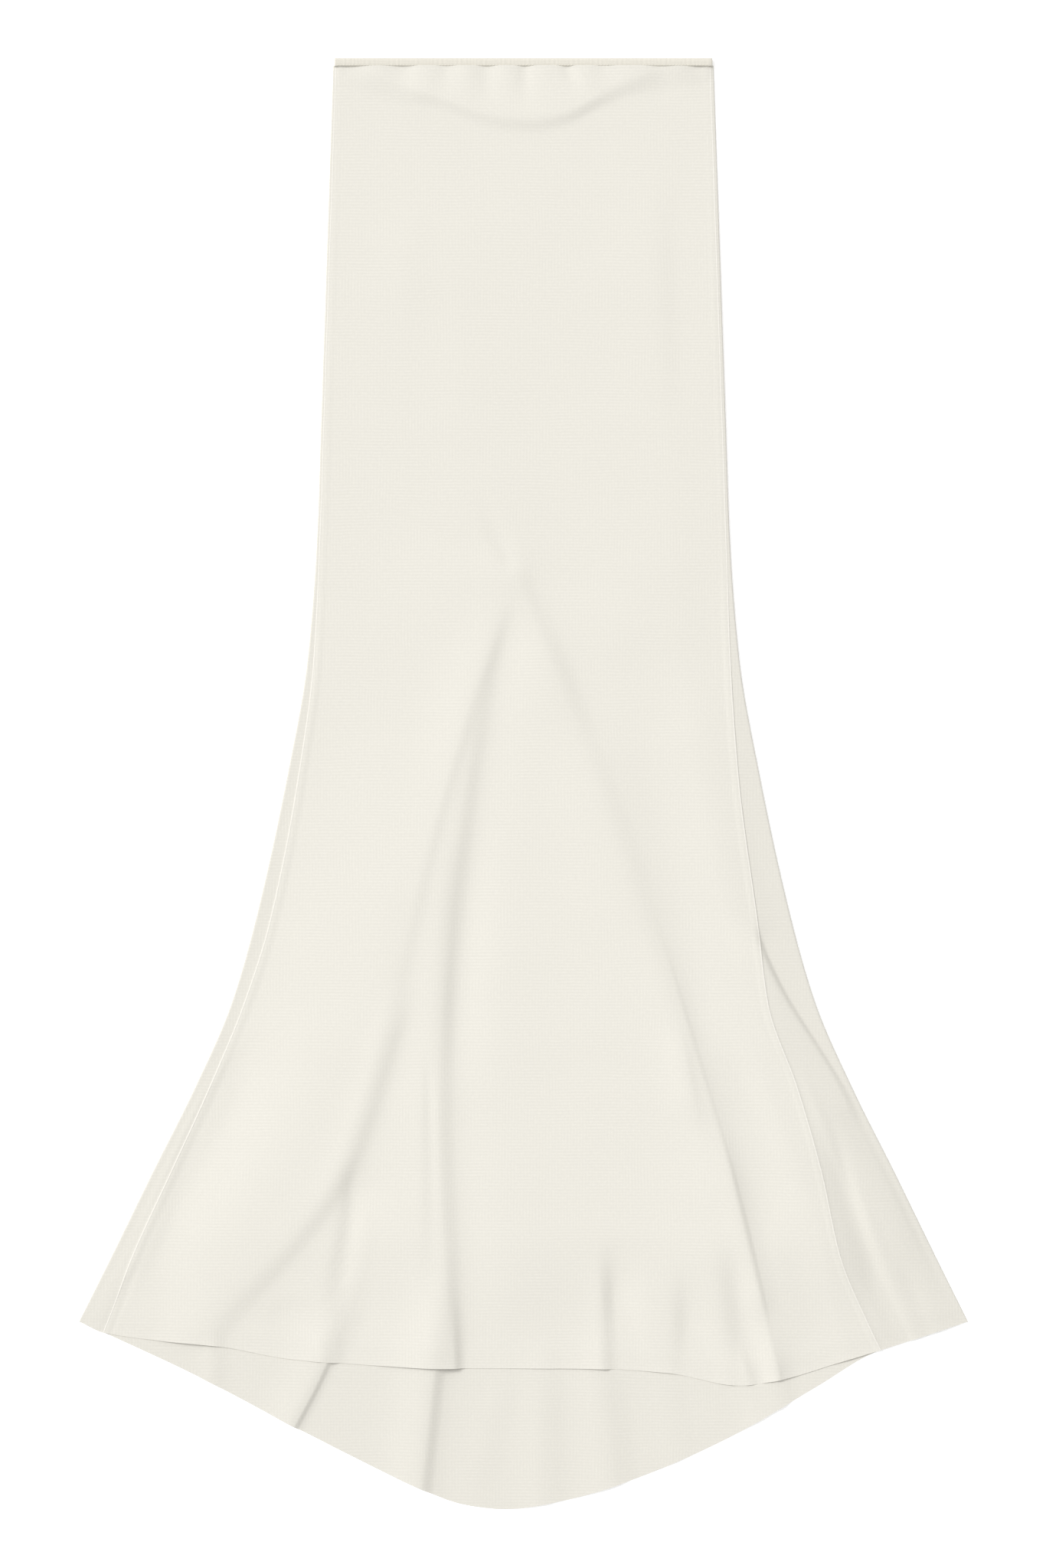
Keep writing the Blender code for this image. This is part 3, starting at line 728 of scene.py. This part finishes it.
class SKIRT_OT_back_panel(bpy.types.Operator):
    """Makes the back panel, which lies on the floor and wraps round both side folds"""

    bl_idname = "skirt.back_panel"
    bl_label = "Back Panel"

    def execute(self, context):
        sizes = context.scene.skirt_sizes
        lines, counts = under_lines(sizes)
        radius = sizes.layer_rise / MM / 2
        inset = sizes.cloth / MM / 2 + radius
        casing_height = sizes.casing_height / MM
        stretches = (
            ("left_wrap", LEFT_WRAP_COLUMNS),
            ("left_bend", BEND_COLUMNS),
            ("under", sum(counts)),
            ("right_bend", BEND_COLUMNS),
            ("right_wrap", RIGHT_WRAP_COLUMNS),
        )
        columns = sum(count for _, count in stretches)

        def front_waist(x):
            return np.full_like(x, casing_height - PANEL_TUCK)

        def wrap(side, t, v):
            def across(drop):
                seam = left_seam(drop) if side < 0 else right_seam(drop)
                edge = side * (half_width(drop) - inset)
                return seam + t * (edge - seam)

            drop, x = place_rows(across, front_waist, top_hem_line, v)
            return x, drop, top_height(sizes, x, drop)

        def bend(side, t, v):
            def across(drop):
                return side * (half_width(drop) - inset)

            drop, x = place_rows(across, front_waist, top_hem_line, v)
            low = under_height(sizes, x, drop)
            high = top_height(sizes, x, drop)
            turn = math.pi * t
            middle = (low + high) / 2
            reach = (high - low) / 2
            return x + side * radius * np.sin(turn), drop, middle + reach * np.cos(turn)

        def under(t, v):
            def across(drop):
                return spread(t, lines, counts, drop)

            drop, x = place_rows(
                across, lambda x: back_waist_edge(x) + casing_height - PANEL_TUCK, back_hem_line, v)
            return x, drop, under_height(sizes, x, drop)

        makers = {
            "left_wrap": lambda t, v: wrap(-1, t, v),
            "left_bend": lambda t, v: bend(-1, t, v),
            "under": under,
            "right_bend": lambda t, v: bend(1, 1 - t, v),
            "right_wrap": lambda t, v: wrap(1, 1 - t, v),
        }

        def place(u, v):
            x = np.zeros_like(u)
            drop = np.zeros_like(u)
            height = np.zeros_like(u)
            done = 0
            for name, count in stretches:
                t = (u * columns - done) / count
                chosen = (t > -1e-5) & (t < 1 + 1e-5)
                spot = makers[name](np.clip(t[chosen], 0, 1), v[chosen])
                x[chosen], drop[chosen], height[chosen] = spot
                done += count
            return x, drop, height

        piece = make_sheet("back_panel_cloth", columns, sizes.rows, place)
        give_wall(piece, sizes.cloth)
        # The back's ivory is darker than the front's: partly its inside face, partly painted shade
        # for the side wraps.
        material = fine_viscose_jersey(
            "fine_viscose_jersey_back", context.scene.skirt_colours.back, sizes.rib_pitch,
            PANEL_ALPHA)
        finish_piece(piece, material)
        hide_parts("back_panel")
        return {"FINISHED"}


def casing_path(sizes, t):
    """x, waist edge and height of the casing's middle, for a share t of the way round it."""
    radius = sizes.casing_rise / MM / 2
    low = sizes.casing / MM / 2
    reach = half_width(0.0) - low - radius
    straight = 2 * reach
    curve = math.pi * radius
    along = t * 2 * (straight + curve)
    x = np.zeros_like(t)
    height = np.zeros_like(t)
    front = along < straight
    right = (along >= straight) & (along < straight + curve)
    back = (along >= straight + curve) & (along < 2 * straight + curve)
    left = along >= 2 * straight + curve
    x[front] = along[front] - reach
    height[front] = low + 2 * radius
    turn = (along[right] - straight) / radius
    x[right] = reach + radius * np.sin(turn)
    height[right] = low + radius + radius * np.cos(turn)
    x[back] = reach - (along[back] - straight - curve)
    height[back] = low
    turn = (along[left] - 2 * straight - curve) / radius
    x[left] = -reach - radius * np.sin(turn)
    height[left] = low + radius - radius * np.cos(turn)
    edge = np.where(height < low + radius, back_waist_edge(x), 0.0)
    return x, edge, height


class SKIRT_OT_waist_casing(bpy.types.Operator):
    """Makes the narrow casing of the waist, a soft band with the elastic inside it"""

    bl_idname = "skirt.waist_casing"
    bl_label = "Waist Casing"

    def execute(self, context):
        sizes = context.scene.skirt_sizes
        half_tall = (sizes.casing_height / MM + CASING_STAND) / 2
        half_thick = sizes.casing / MM / 2

        def place(u, v):
            x, edge, height = casing_path(sizes, u % 1.0)
            turn = 2 * math.pi * v
            uneven = 1.5 * np.sin(u * 210)
            pucker = 1 + CASING_PUCKER_SHARE * np.sin(u * 2 * math.pi * CASING_PUCKERS + uneven)
            side = np.sign(np.cos(turn)) * np.abs(np.cos(turn)) ** CASING_ROUND
            drop = edge - CASING_STAND + half_tall * (1 + side * 0.98)
            return x, drop, height + 0.9 * half_thick * pucker * np.sin(turn)

        piece = make_sheet("waist_casing", CASING_AROUND, CASING_GIRTH, place)
        bpy.ops.object.mode_set(mode="EDIT")
        bpy.ops.mesh.select_all(action="SELECT")
        bpy.ops.mesh.remove_doubles(threshold=0.00002)
        bpy.ops.mesh.normals_make_consistent(inside=False)
        bpy.ops.object.mode_set(mode="OBJECT")
        piece.data.shade_smooth()
        material = fine_viscose_jersey(
            "viscose_jersey_over_elastic", context.scene.skirt_colours.casing,
            sizes.rib_pitch, 1.0)
        finish_piece(piece, material)
        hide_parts("waistband")
        return {"FINISHED"}


def repeat_piece(name, pattern, places):
    """One mesh of many copies of a small piece, each moved to a place and turned in the plan."""
    corners = np.array([vert.co for vert in pattern.data.vertices])
    faces = [list(face.vertices) for face in pattern.data.polygons]
    all_points = []
    all_faces = []
    for i, (x, y, z, turn) in enumerate(places):
        spin = np.array([[math.cos(turn), math.sin(turn), 0], [-math.sin(turn), math.cos(turn), 0],
                         [0, 0, 1]])
        all_points.extend((corners @ spin + (x, y, z)).tolist())
        all_faces.extend([i * len(corners) + k for k in face] for face in faces)
    mesh = bpy.data.meshes.new(name)
    mesh.from_pydata(all_points, [], all_faces)
    mesh.shade_smooth()
    piece = bpy.data.objects.new(name, mesh)
    bpy.context.scene.collection.objects.link(piece)
    return piece


def polyester_thread(name, colour):
    """Spun polyester sewing thread."""
    # To the eye: a twisted strand, slightly glossier than the jersey. The twist is drawn coarser
    # than the real one
    material = bpy.data.materials.new(name)
    material.use_nodes = True
    tree = material.node_tree
    shader = tree.nodes["Principled BSDF"]
    place = add_node(tree, "ShaderNodeTexCoord")
    twist = add_node(
        tree, "ShaderNodeTexWave",
        {"Vector": place.outputs["Object"], "Scale": math.pi / 10 / THREAD_TWIST, "Distortion": 1.0},
        wave_type="BANDS", bands_direction="DIAGONAL")
    tone = add_node(
        tree, "ShaderNodeMix",
        {"Factor": twist.outputs["Fac"], "A": [c * 0.9 for c in colour[:3]] + [1.0],
         "B": list(colour)},
        data_type="RGBA")
    bump = add_node(
        tree, "ShaderNodeBump",
        {"Height": twist.outputs["Fac"], "Strength": 0.3, "Distance": 0.0001})
    tree.links.new(tone.outputs["Result"], shader.inputs["Base Color"])
    tree.links.new(bump.outputs["Normal"], shader.inputs["Normal"])
    shader.inputs["Roughness"].default_value = 0.55
    return material


class SKIRT_OT_casing_stitches(bpy.types.Operator):
    """Makes the row of topstitches along the lower edge of the casing, front and back"""

    bl_idname = "skirt.casing_stitches"
    bl_label = "Casing Stitches"

    def execute(self, context):
        sizes = context.scene.skirt_sizes
        bpy.ops.object.select_all(action="DESELECT")
        bpy.ops.mesh.primitive_uv_sphere_add(segments=6, ring_count=5, radius=1.0)
        stitch = context.object
        bpy.ops.object.mode_set(mode="EDIT")
        bpy.ops.mesh.select_all(action="SELECT")
        bpy.ops.transform.resize(
            value=(sizes.stitch_pitch * 0.4, sizes.thread * 0.8, sizes.thread * 0.6))
        bpy.ops.object.mode_set(mode="OBJECT")

        drop = sizes.casing_height / MM - STITCH_INSET
        reach = half_width(0.0) - STITCH_END_GAP
        lift = 0.78 * sizes.casing / MM / 2 + sizes.thread / MM / 4
        places = []
        for x in np.arange(-reach, reach, sizes.stitch_pitch / MM):
            front_height = sizes.casing / MM / 2 + sizes.casing_rise / MM + lift
            places.append((x, drop, front_height, 0.0))
            slope = float(back_waist_edge(x + 1.0) - back_waist_edge(x - 1.0)) / 2
            back_drop = float(back_waist_edge(x)) + drop
            places.append((x, back_drop, sizes.casing / MM / 2 + lift, math.atan(-slope)))
        placed = [(x * MM, WAIST_Y - d * MM, z * MM, turn) for x, d, z, turn in places]
        piece = repeat_piece("casing_topstitch", stitch, placed)
        bpy.data.objects.remove(stitch)
        material = polyester_thread("spun_polyester_thread", context.scene.skirt_colours.thread)
        finish_piece(piece, material)
        return {"FINISHED"}


class SKIRT_OT_side_seams(bpy.types.Operator):
    """Makes the ridge of each side seam and the trimmed allowance that lies under it"""

    bl_idname = "skirt.side_seams"
    bl_label = "Side Seams"

    def execute(self, context):
        sizes = context.scene.skirt_sizes
        colours = context.scene.skirt_colours
        # The ridge's darker ivory is painted shade that keeps the lit ridge from reading as a bright
        # line.
        ridge_jersey = fine_viscose_jersey(
            "fine_viscose_jersey_seam", colours.seam, sizes.rib_pitch, 1.0)
        edge_jersey = fine_viscose_jersey(
            "overlocked_viscose_jersey", colours.casing, sizes.rib_pitch, 1.0)
        first = sizes.casing_height / MM

        for side_name, side, seam in (("left", -1, left_seam), ("right", 1, right_seam)):
            def seam_line(v, seam=seam):
                last = TIP_DROP
                for _ in range(SETTLE_STEPS):
                    last = top_hem_line(seam(last))
                drop = first + v * (last - first)
                return drop, seam(drop)

            def ridge(u, v):
                drop, x = seam_line(v)
                turn = math.pi * u
                pucker = 1 + SEAM_PUCKER_SHARE * np.sin(drop * 2 * math.pi / SEAM_STITCH)
                across = sizes.seam_width / MM / 2 * pucker
                height = top_height(sizes, x, drop) - RIDGE_SUNK + RIDGE_HEIGHT * np.sin(turn)
                return x - across * np.cos(turn), drop, height

            def allowance(u, v):
                drop, x = seam_line(v)
                inside = x - side * (ALLOWANCE_INSET + u * sizes.allowance / MM)
                return inside, drop, top_height(sizes, inside, drop) - ALLOWANCE_SUNK

            piece = make_sheet(side_name + "_side_seam", RIDGE_COLUMNS, SEAM_ROWS, ridge)
            give_wall(piece, sizes.cloth * 0.6)
            finish_piece(piece, ridge_jersey)
            piece = make_sheet(
                side_name + "_seam_allowance", ALLOWANCE_COLUMNS, SEAM_ROWS, allowance)
            give_wall(piece, sizes.cloth * 0.8)
            finish_piece(piece, edge_jersey)
        return {"FINISHED"}


class SKIRT_OT_stage(bpy.types.Operator):
    """Makes the white floor, the soft light from the upper left and the camera overhead"""

    bl_idname = "skirt.stage"
    bl_label = "Studio Stage"

    def execute(self, context):
        bpy.ops.object.select_all(action="DESELECT")
        bpy.ops.mesh.primitive_plane_add(size=14.0, location=(0, 0, -0.0002))
        floor = context.object
        floor.name = "studio_floor"
        paper = bpy.data.materials.new("matt_white_paper")
        paper.use_nodes = True
        shader = paper.node_tree.nodes["Principled BSDF"]
        shader.inputs["Base Color"].default_value = context.scene.skirt_colours.floor
        shader.inputs["Roughness"].default_value = 1.0
        shader.inputs["Specular IOR Level"].default_value = 0.0
        shader.inputs["Emission Color"].default_value = (1, 1, 1, 1)
        shader.inputs["Emission Strength"].default_value = 0.2
        floor.data.materials.append(paper)

        bpy.ops.object.light_add(type="SUN", location=(-2, 1.5, 3))
        key = context.object
        key.name = "softbox_upper_left"
        key.data.energy = 2.2
        key.data.angle = math.radians(24)
        key.rotation_euler = Vector((-1.0, 0.75, 1.15)).to_track_quat("Z", "Y").to_euler()

        world = bpy.data.worlds.new("white_tent")
        world.use_nodes = True
        background = world.node_tree.nodes["Background"]
        background.inputs["Color"].default_value = (1, 1, 1, 1)
        background.inputs["Strength"].default_value = 0.8
        context.scene.world = world
        context.scene.view_settings.view_transform = "Standard"

        lens = bpy.data.cameras.new("overhead_camera")
        lens.lens = 85.0
        lens.sensor_width = 36.0
        camera = bpy.data.objects.new("overhead_camera", lens)
        camera.location = (-0.0003, 0.0002, 3.095)
        context.scene.collection.objects.link(camera)
        context.scene.camera = camera
        return {"FINISHED"}


class SKIRT_PT_panel(bpy.types.Panel):
    """Lists the skirt's pieces in the sidebar"""

    bl_label = "Fishtail Skirt"
    bl_idname = "SKIRT_PT_panel"
    bl_space_type = "VIEW_3D"
    bl_region_type = "UI"
    bl_category = "Skirt"

    def draw(self, context):
        for group in (context.scene.skirt_sizes, context.scene.skirt_colours):
            for name in group.__annotations__:
                self.layout.prop(group, name)
        for operator in OPERATORS:
            self.layout.operator(operator.bl_idname)


OPERATORS = (
    SKIRT_OT_stage,
    SKIRT_OT_back_panel,
    SKIRT_OT_front_panel,
    SKIRT_OT_waist_casing,
    SKIRT_OT_casing_stitches,
    SKIRT_OT_side_seams,
)
CLASSES = (SkirtSizes, SkirtColours, *OPERATORS, SKIRT_PT_panel)


def register():
    for cls in CLASSES:
        bpy.utils.register_class(cls)
    bpy.types.Scene.skirt_sizes = PointerProperty(type=SkirtSizes)
    bpy.types.Scene.skirt_colours = PointerProperty(type=SkirtColours)


def unregister():
    del bpy.types.Scene.skirt_colours
    del bpy.types.Scene.skirt_sizes
    for cls in reversed(CLASSES):
        bpy.utils.unregister_class(cls)


def main():
    register()
    for operator in OPERATORS:
        group, name = operator.bl_idname.split(".")
        getattr(getattr(bpy.ops, group), name)()


if __name__ == "__main__":
    main()
